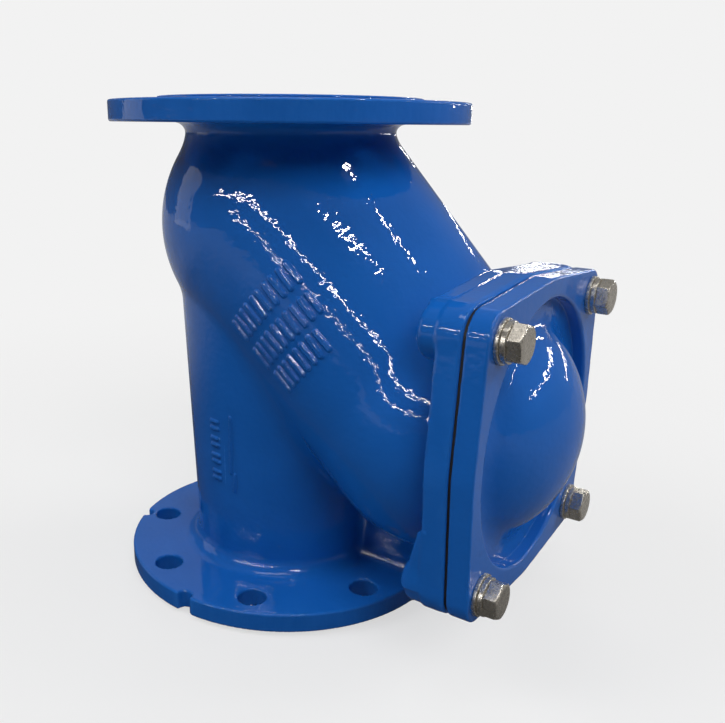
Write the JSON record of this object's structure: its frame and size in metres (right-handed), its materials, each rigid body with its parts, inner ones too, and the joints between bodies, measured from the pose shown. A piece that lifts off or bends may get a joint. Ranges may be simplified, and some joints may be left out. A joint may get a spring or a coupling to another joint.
{
  "type": "flanged ball check valve",
  "caption": "Flanged ball check valve with a sloping ball chamber, a bolted dome cover and a rubber-coated ball that rolls off its seat to open the flow path.",
  "frame": {"origin": "centre of the raised face of the outlet flange, on the pipe axis", "axes": "+Z along the pipe axis from the outlet flange to the inlet flange, +X towards the cover; the XZ plane is the plane of symmetry"},
  "size_m": [0.398, 0.285, 0.4],
  "materials": {
    "blue_enamel": "ductile iron casting under a thick, glossy blue epoxy coating with a slight cast ripple",
    "black_rubber": "matt black nitrile rubber",
    "core_metal": "cast light alloy",
    "bolt_metal": "warm grey stainless steel, satin, with fine turning and forging marks",
    "washer_metal": "warm grey stainless steel, satin, slightly brighter on the edges"
  },
  "bodies": {
    "housing": {"valve_body": "blue_enamel", "cover": "blue_enamel", "cover_gasket": "black_rubber", "cover_bolt_1": "bolt_metal", "cover_bolt_2": "bolt_metal", "cover_bolt_3": "bolt_metal", "cover_bolt_4": "bolt_metal", "spring_washer_1": "washer_metal", "spring_washer_2": "washer_metal", "spring_washer_3": "washer_metal", "spring_washer_4": "washer_metal", "flat_washer_1": "washer_metal", "flat_washer_2": "washer_metal", "flat_washer_3": "washer_metal", "flat_washer_4": "washer_metal"},
    "ball": {"ball_core": "core_metal", "ball_coating": "black_rubber"}
  },
  "joints": [
    {"name": "ball_travel", "type": "hinge", "parent": "housing", "child": "ball", "pos_m": [0.27693, 0, 0.44136], "axis": [0, 1, 0], "range_deg": [0, 40.68]}
  ]
}
